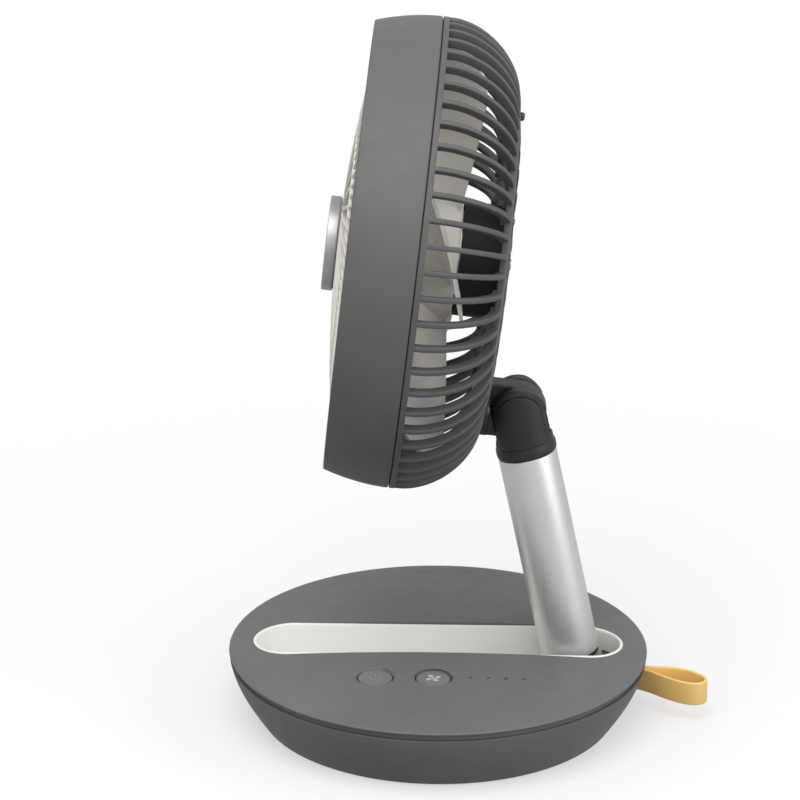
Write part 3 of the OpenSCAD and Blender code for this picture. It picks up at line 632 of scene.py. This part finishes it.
def front_ring():
    """The broad ring, tapering forward, with the lip inside it that holds the front guard."""
    taper_power, clearance, lip_back, ledge, flare = 1.9, 0.1, 23.6, 19, 15
    wall, lip = HEAD_RADIUS - RING_WALL, GUARD_RADIUS + clearance
    outer = [(HEAD_RADIUS - RING_TAPER * (z / RING_DEPTH) ** taper_power, z)
             for z in steps_between(0, RING_DEPTH, 14)]
    inner = [(lip, RING_DEPTH), (lip, lip_back), (wall - 2, ledge), (wall, flare), (wall, 0)]
    shape = Shape()
    shape.revolve(rounded(outer + inner, 0.9, 4), 256)
    return build(shape, "front_ring_shell", "head", RING_SHADED, HEAD, ("front_ring",))


def dome_level(x, y=0.0):
    """Outer skin of the front guard."""
    return DOME_TOP - DOME_RISE * (math.hypot(x, y) / GUARD_RADIUS) ** 2


def dome_inside(x, y=0.0):
    """Inner skin of the front guard."""
    return dome_level(x, y) - GUARD_THICK


def front_guard():
    """The domed grille: a full set of skewed bars, and a shorter set between them."""
    rim, ring, half, proud = GUARD_RADIUS - 2.6, 0.6 * GUARD_RADIUS, 1, 0.15
    long_root, short_root = DOME_CENTRE - 7, ring - 2.5
    shape = Shape()
    add_bars(shape, BARS, long_root, rim, BAR_SKEW, BAR_WIDTH, GUARD_THICK, dome_inside, 20)
    add_bars(shape, BARS, short_root, rim, BAR_SKEW, BAR_WIDTH, GUARD_THICK, dome_inside, 12, 0.5)
    for inside, outside in ((ring - half, ring + half), (rim, GUARD_RADIUS)):
        shape.revolve(rounded([
            (inside, dome_inside(inside)), (outside, dome_inside(outside)),
            (outside, dome_level(outside) + proud), (inside, dome_level(inside) + proud)],
            0.6), 200)
    shape.revolve(rounded([
        (0, DOME_TOP - GUARD_THICK), (DOME_CENTRE, dome_inside(DOME_CENTRE)),
        (DOME_CENTRE, dome_level(DOME_CENTRE)), (0, DOME_TOP)], 0.7, closed=False), 96)
    return build(shape, "front_guard_cage", "head", GUARD_WHITE, HEAD, ("front_guard",))


def hub_cap():
    """The metal disc on the grille, with a raised rim."""
    seat, chamfer, rim, slope, sink = 0.05, 1.5, 2.6, 0.6, 0.35
    low = dome_level(CAP_RADIUS) + seat
    shape = Shape()
    shape.revolve(rounded([
        (0, DOME_TOP + seat), (CAP_RADIUS - chamfer, low), (CAP_RADIUS, low + slope),
        (CAP_RADIUS, CAP_TOP), (CAP_RADIUS - rim, CAP_TOP),
        (CAP_RADIUS - rim - slope, CAP_TOP - sink), (0, CAP_TOP - sink)],
        0.55, 4, closed=False), 160)
    return build(shape, "hub_cap_disc", "head", TURNED, HEAD, ("hub_cap",))


def blade_ring(r, section):
    """One cross-section of a blade at distance r from the axis."""
    root_pitch, untwist, root_half, lead_spread, trail_spread = 30, 9, 15, 21.5, 22
    tip_start, tip_length, tip_cut, tip_power = 0.9, 0.1, 7, 2.2
    camber, drop, least = 2.6, 1.2, 100
    share = (r - HUB_RADIUS) / (BLADE_RADIUS - HUB_RADIUS)
    pitch = math.radians(root_pitch - untwist * share)
    # The tip's corners are cut round
    trim = tip_cut * max(0.0, (share - tip_start) / tip_length) ** tip_power
    start = -root_half - lead_spread * share + trim
    end = root_half + trail_spread * share - trim
    ring = []
    for along, across in section:
        s = start + (end - start) * (along + 0.5)
        across += camber * (2 * along) ** 2 - drop
        y = s * math.cos(pitch) - across * math.sin(pitch)
        z = BLADE_LEVEL + s * math.sin(pitch) + across * math.cos(pitch)
        ring.append((math.sqrt(max(r * r - y * y, least)), y, z))
    return ring


def impeller():
    """Hub and blades; the blades' sections untwist and widen towards the tip."""
    half, thinning = BLADE_THICK / 2, 0.75
    top = [(x, half * (1 - thinning * (2 * x) ** 6)) for x in steps_between(-0.5, 0.5, 14)]
    section = top + [(x, -y) for x, y in reversed(top)]
    shape = Shape()
    for i in range(BLADES):
        start = len(shape.points)
        shape.loft([blade_ring(r, section)
                    for r in steps_between(HUB_RADIUS - 2, BLADE_RADIUS, 26)])
        shape.spin(start, math.tau * i / BLADES)
    # The skirt narrows towards the motor
    skirt_start, bore, boss = -9, 2, 6
    skirt = [(HUB_RADIUS - SKIRT_BEND * (1 - math.cos(u)),
              skirt_start + (SKIRT_BACK - skirt_start) * math.sin(u))
             for u in steps_between(math.pi / 2, 0, 8)]
    lining = [(r - SKIRT_WALL, z) for r, z in reversed(skirt)]
    nose = [(HUB_RADIUS, 7), (HUB_RADIUS - 1.4, 9.8), (26, 12), (20, 13), (bore, 13.4)]
    shape.revolve([(bore, HUB_BACK), (boss, HUB_BACK), (boss, 11), (HUB_RADIUS - 2, 8)]
                  + lining + skirt + nose, 120)
    return build(shape, "impeller_blades", "rotor", BLADE_SHADED_WHITE, HEAD, ("impeller",), 50)


rear_guard()
front_ring()
front_guard()
hub_cap()
impeller()


# ---------- arm ----------

def arm_tube():
    """The tube's skin, with its ends rounded."""
    bore = TUBE_RADIUS - 1.4
    shape = Shape()
    shape.revolve(rounded([(TUBE_RADIUS, TUBE_LOW), (TUBE_RADIUS, TUBE_HIGH), (bore, TUBE_HIGH),
                           (bore, TUBE_LOW)], 0.35), 128)
    return build(shape, "arm_tube_skin", "arm", ALUMINIUM, ELBOW, ("arm_tube",))


arm_tube()
softened("elbow_knuckle", "elbow_knuckle_moulding", "arm", BLACK, 0.42, 5)
softened("elbow_caps", "elbow_cap_mouldings", "arm", BLACK, 0.3, 3)
softened("head_bracket", "head_bracket_moulding", "head", BLACK, 0.4, 5)
softened("rear_feet", "rear_foot_pads", "head", DARK_RUBBER, 0.3, 3)
# The stop block's near-black colour is painted shade for the trough's foot end.
softened("arm_stop", "arm_stop_shade_block", "base", STOP_SHADE, 0.4, 3)


# ---------- base ----------

def cover_level(x, y):
    """Outer skin of the base's domed cover."""
    r = math.hypot(x, y)
    if r <= SHOULDER_RADIUS:
        return COVER_TOP - DOME_DROP * (r / SHOULDER_RADIUS) ** 2
    share = min(1.0, (r - SHOULDER_RADIUS) / (BASE_RADIUS - SHOULDER_RADIUS))
    edge = COVER_TOP - DOME_DROP - COVER_BOTTOM
    return COVER_BOTTOM + edge * math.sqrt(1 - share * share)


def above(lift):
    """The level that lies a lift above the cover."""
    return lambda x, y: cover_level(x, y) + lift


def slot_outline(span, size, steps):
    """A round-ended outline: half its spine, and the size of its ends."""
    return [(side * span + size * math.cos(angle), size * math.sin(angle))
            for side, start in ((1, -math.pi / 2), (-1, math.pi / 2))
            for angle in steps_between(start, start + math.pi, steps)]


def round_ended(offset, level):
    """A ring round the trough at a distance from its spine; level is fixed or a function."""
    return [(x, y, level(x, y) if callable(level) else level)
            for x, y in slot_outline(TROUGH_SPAN, offset, 30)]


def trough_liner():
    """The off-white tray with its bead, which follows the cover's dome."""
    proud, below, slope, slant = 0.55, -1.2, 2.6, 4.4
    outside, inside, bead = TROUGH_RADIUS + LINER_WALL, TROUGH_RADIUS, LINER_WALL / 2
    rings = [round_ended(outside - slope, TROUGH_BOTTOM),
             round_ended(outside, TROUGH_BOTTOM + slant), round_ended(outside, above(below))]
    for angle in steps_between(0, math.pi, 8):
        rings.append(round_ended(inside + bead + bead * math.cos(angle),
                                 above(proud - bead + bead * math.sin(angle))))
    rings += [round_ended(inside, above(below)), round_ended(inside, TROUGH_FLOOR + slant),
              round_ended(inside - slope, TROUGH_FLOOR)]
    shape = Shape()
    shape.loft(rings)
    return build(shape, "trough_tray", "base", WHITE, BASE, ("trough_liner",))


def smooth_path(points, steps):
    """A Catmull-Rom curve through the points."""
    out = []
    for i in range(len(points) - 1):
        p0, p1 = Vector(points[max(i - 1, 0)]), Vector(points[i])
        p2, p3 = Vector(points[i + 1]), Vector(points[min(i + 2, len(points) - 1)])
        for k in range(steps):
            t = k / steps
            out.append(0.5 * (2 * p1 + (p2 - p0) * t + (2 * p0 - 5 * p1 + 4 * p2 - p3) * t ** 2
                              + (3 * p1 - p0 - 3 * p2 + p3) * t ** 3))
    return out + [Vector(points[-1])]


# Middle of the band seen from above; X counts from the base's widest radius
STRAP_PATH = [(-10.2, 2.7), (-5, 2.7), (-3, 2.6), (2, -0.6), (7, -5.3), (12, -9.5), (17, -12.6),
              (21.5, -14.2), (25.4, -13.6), (27.8, -10.9), (27.8, -7.2), (25.2, -3.2),
              (20.5, 0.8), (13, 3.8), (4, 4.5), (-10.2, 4.5)]


def strap():
    """The band, a flat strip on edge that goes out, round and back."""
    low, high = (z / MM for z in (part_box("strap")[0].z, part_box("strap")[1].z))
    thick, bend, middle = 1.6, 0.6, (low + high) / 2
    section = rounded(rectangle(thick, high - low), bend, 4)
    line = smooth_path(STRAP_PATH, 7)
    rings = []
    for i, p in enumerate(line):
        along = (line[min(i + 1, len(line) - 1)] - line[max(i - 1, 0)]).normalized()
        side = Vector((-along.y, along.x))
        rings.append([(BASE_RADIUS + p.x + side.x * a, p.y + side.y * a, middle + b)
                      for a, b in section])
    shape = Shape()
    shape.loft(rings)
    return build(shape, "strap_band", "base", BAND, BASE, ("strap",), 60)


def charge_inlet():
    """The inlet's rounded metal shell, and the tongue inside it."""
    low, high = (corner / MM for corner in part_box("charge_socket"))
    half, wall, chamfer, back = (high.z - low.z) / 2, 0.35, 0.12, 1
    span = (high.x - low.x) / 2 - half
    width, height, tip = 6.4, 0.8, 0.2

    def upright(outline, y):
        return [((low.x + high.x) / 2 + a, y, (low.z + high.z) / 2 + b) for a, b in outline]

    shell = Shape()
    shell.loft([upright(slot_outline(span, half - inset, 12), y) for inset, y in (
        (0, low.y), (0, high.y - chamfer), (chamfer, high.y), (wall, high.y),
        (wall, low.y + back))])
    build(shell, "inlet_shell", "base", STEEL, BASE, ("charge_socket",))
    tongue = Shape()
    tongue.loft([upright(rounded(rectangle(width - inset, height - inset), 0.25), y)
                 for inset, y in ((0, low.y + 0.8), (0, high.y - 1.3), (tip, high.y - 1.1))])
    build(tongue, "inlet_tongue", "base", BLACK, BASE)


def light_lenses():
    """The small lenses that end the four light pipes, just proud of the cover."""
    low, high = (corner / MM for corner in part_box("light_pipes"))
    pipe, lens, sunk, proud = (high.y - low.y) / 2, 1.1, 0.2, 0.05
    shape = Shape()
    for x in steps_between(low.x + pipe, high.x - pipe, 3):
        shape.prism(circle(lens, 20, (x, (low.y + high.y) / 2)), above(-sunk), above(proud))
    return build(shape, "light_lenses", "base", LENS, BASE)


trough_liner()
strap()
charge_inlet()
light_lenses()


# ---------- button icons ----------

def cap_level(centre, lift):
    """Dished top of a button cap."""
    def level(x, y):
        reach = math.hypot(x - centre[0], y - centre[1]) / CAP_SIZE
        return CAP_CENTRE + CAP_DISH * reach + lift
    return level


def arc_band(centre, inner, outer, start, end):
    """Outline of a ring segment; start and end are in degrees."""
    angles = [math.radians(a) for a in steps_between(start, end, 28)]
    points = [(centre[0] + outer * math.cos(a), centre[1] + outer * math.sin(a)) for a in angles]
    points += [(centre[0] + inner * math.cos(a), centre[1] + inner * math.sin(a))
               for a in reversed(angles)]
    return points


def button_middle(node):
    """Middle of a button seen from above."""
    low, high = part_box(node)
    return ((low.x + high.x) / 2 / MM, (low.y + high.y) / 2 / MM)


def power_icon():
    """A broken ring with an upright bar in its gap."""
    inside, outside, start, end, bar_middle, bar_length = 2.35, 2.95, 130, 410, 2.3, 2.6
    centre = button_middle("power_button")
    low, high = cap_level(centre, -0.1), cap_level(centre, 0.04)
    bar = rectangle(0.6, bar_length)
    shape = Shape()
    shape.prism(arc_band(centre, inside, outside, start, end), low, high)
    shape.prism([(centre[0] + x, centre[1] + bar_middle + y) for x, y in bar], low, high)
    return build(shape, "power_icon", "power_key", DIM, BASE)


def fan_icon():
    """Four bent petals round a dot."""
    hub, middle, half_length, half_width, bend, stem = 0.62, 2.35, 1.5, 1.15, 0.18, 0.9
    centre = button_middle("speed_button")
    low, high = cap_level(centre, -0.1), cap_level(centre, 0.05)
    shape = Shape()
    shape.prism(circle(hub, 20, centre), low, high)
    for angle in (20, 110, 200, 290):
        petal = []
        for a in steps_between(0, math.tau * 23 / 24, 23):
            r = middle + half_length * math.cos(a)
            y = half_width * math.sin(a) + bend * max(r - stem, 0.0) ** 1.4
            point = turned((r, y, 0), math.radians(angle))
            petal.append(tuple(c + d for c, d in zip(centre, point)))
        shape.prism(petal, low, high)
    return build(shape, "fan_icon", "speed_key", LIT, BASE)


power_icon()
fan_icon()
for button in ("power_button", "speed_button"):
    nodes[button].data.materials[0] = CAP
nodes["motor_housing"].data.materials[0] = MOTOR


# ---------- stage, lights and camera ----------

def stage_floor():
    """A pale floor that keeps the shadow near the object and fades to white."""
    bounced, seen_tone, mirrored = 0.16, 0.9, 0.5
    near, far, near_glow, far_glow = 0.2, 0.5, 0.5, 1.0
    bpy.ops.mesh.primitive_circle_add(vertices=96, radius=6, fill_type="NGON")
    floor = bpy.context.object
    floor.name = "floor"
    finish = Finish("floor_white", 0.9)
    path = finish.node("LightPath", {}).outputs
    finish.set("Base Color", finish.mixed(path["Is Camera Ray"], tint((bounced,) * 3, 1),
                                          tint((seen_tone,) * 3, 1)))
    finish.set("Specular IOR Level", 0.2)
    glow = finish.node("Emission", {"Color": (1, 1, 1, 1), "Strength": 1.0}).outputs[0]
    place = finish.node("NewGeometry", {}).outputs["Position"]
    reach = finish.node("VectorMath", {0: place}, operation="LENGTH").outputs["Value"]
    faded = finish.between(reach, near_glow, far_glow, (near, far))
    seen = finish.node("Math", {0: faded, 1: path["Is Camera Ray"]}, operation="MULTIPLY")
    share = finish.node("Math", {0: path["Is Glossy Ray"], 1: mirrored, 2: seen.outputs[0]},
                        operation="MULTIPLY_ADD")
    mix = finish.node("MixShader", {0: share.outputs[0], 1: finish.shader.outputs[0], 2: glow})
    output = next(n for n in finish.tree.nodes if n.type == "OUTPUT_MATERIAL")
    finish.tree.links.new(mix.outputs[0], output.inputs["Surface"])
    floor.data.materials.append(finish.material)


def white_world():
    """A soft white light from all round, which is plain white where the camera sees it."""
    soft_strength = 0.68
    world = bpy.data.worlds.new("studio")
    bpy.context.scene.world = world
    world.use_nodes = True
    tree = world.node_tree
    tree.nodes.clear()
    path = tree.nodes.new("ShaderNodeLightPath")
    seen = tree.nodes.new("ShaderNodeMath")
    seen.operation = "MAXIMUM"
    tree.links.new(path.outputs["Is Camera Ray"], seen.inputs[0])
    tree.links.new(path.outputs["Is Transmission Ray"], seen.inputs[1])
    soft = tree.nodes.new("ShaderNodeBackground")
    soft.inputs["Color"].default_value = (1, 1, 1, 1)
    soft.inputs["Strength"].default_value = soft_strength
    plain = tree.nodes.new("ShaderNodeBackground")
    plain.inputs["Color"].default_value = (1, 1, 1, 1)
    mix = tree.nodes.new("ShaderNodeMixShader")
    output = tree.nodes.new("ShaderNodeOutputWorld")
    tree.links.new(seen.outputs[0], mix.inputs[0])
    tree.links.new(soft.outputs[0], mix.inputs[1])
    tree.links.new(plain.outputs[0], mix.inputs[2])
    tree.links.new(mix.outputs[0], output.inputs["Surface"])


def softbox(name, place, target, size, power):
    """A rectangular area light that faces a point; power is in watts."""
    light = bpy.data.lights.new(name, "AREA")
    light.shape = "RECTANGLE"
    light.size, light.size_y = size
    light.energy = power
    lamp = bpy.data.objects.new(name, light)
    bpy.context.scene.collection.objects.link(lamp)
    lamp.location = place
    toward = Vector(target) - Vector(place)
    lamp.rotation_euler = toward.to_track_quat("-Z", "Y").to_euler()


def camera():
    """The photograph's view: its place, aim, roll and lens."""
    eye, aim = Vector((0.0120, -1.3227, 0.6143)), Vector((-0.0185, 0.0, 0.1564))
    roll = math.radians(0.15)
    data = bpy.data.cameras.new("camera")
    data.lens = 135.1
    data.sensor_width = 36
    data.clip_end = 50
    view = bpy.data.objects.new("camera", data)
    bpy.context.scene.collection.objects.link(view)
    view.location = eye
    turn = (aim - eye).to_track_quat("-Z", "Y").to_matrix()
    view.rotation_euler = (turn @ Matrix.Rotation(roll, 3, "Z")).to_euler()
    bpy.context.scene.camera = view


stage_floor()
white_world()
softbox("key", (-0.25, -0.7, 1.6), (0, 0, 0.12), (1.4, 1.2), 16)
softbox("right", (1.5, -0.75, 0.7), (0.03, 0, 0.12), (1.0, 1.3), 9)
softbox("front", (-0.2, -2.2, 0.9), (0, 0, 0.15), (1.0, 1.0), 2.5)
camera()
bpy.context.scene.view_settings.view_transform = "Standard"

bpy.context.view_layer.update()
